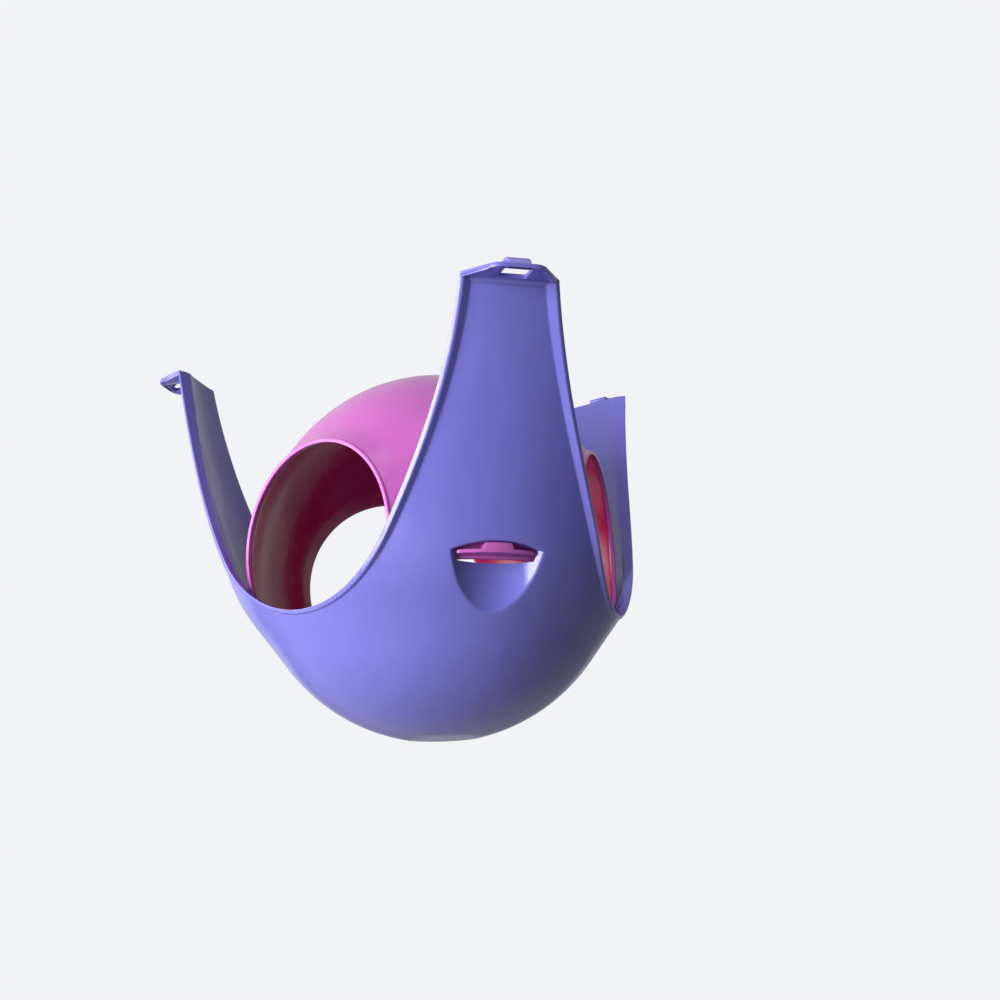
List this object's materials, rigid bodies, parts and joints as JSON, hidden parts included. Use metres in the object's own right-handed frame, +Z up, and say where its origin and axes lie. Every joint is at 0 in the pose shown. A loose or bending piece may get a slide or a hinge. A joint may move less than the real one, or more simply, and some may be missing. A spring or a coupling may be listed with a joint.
{
  "type": "rodent igloo",
  "caption": "Hanging ball-shaped sleeping house for rats: a bowl with tall flared hook arms and a snap-in dome with round doorways.",
  "frame": {"origin": "centre of the flat foot under the bowl", "axes": "+Z up along the axis of threefold symmetry; one arm points along -Y, the other two 120 degrees either side of it"},
  "size_m": [0.2668, 0.242, 0.2024],
  "materials": {
    "purple_plastic": "glossy moulded polypropylene, lavender purple",
    "pink_plastic": "glossy moulded polypropylene, bright pink"
  },
  "bodies": {
    "root": {"base": "purple_plastic", "dome": "pink_plastic"}
  },
  "joints": []
}
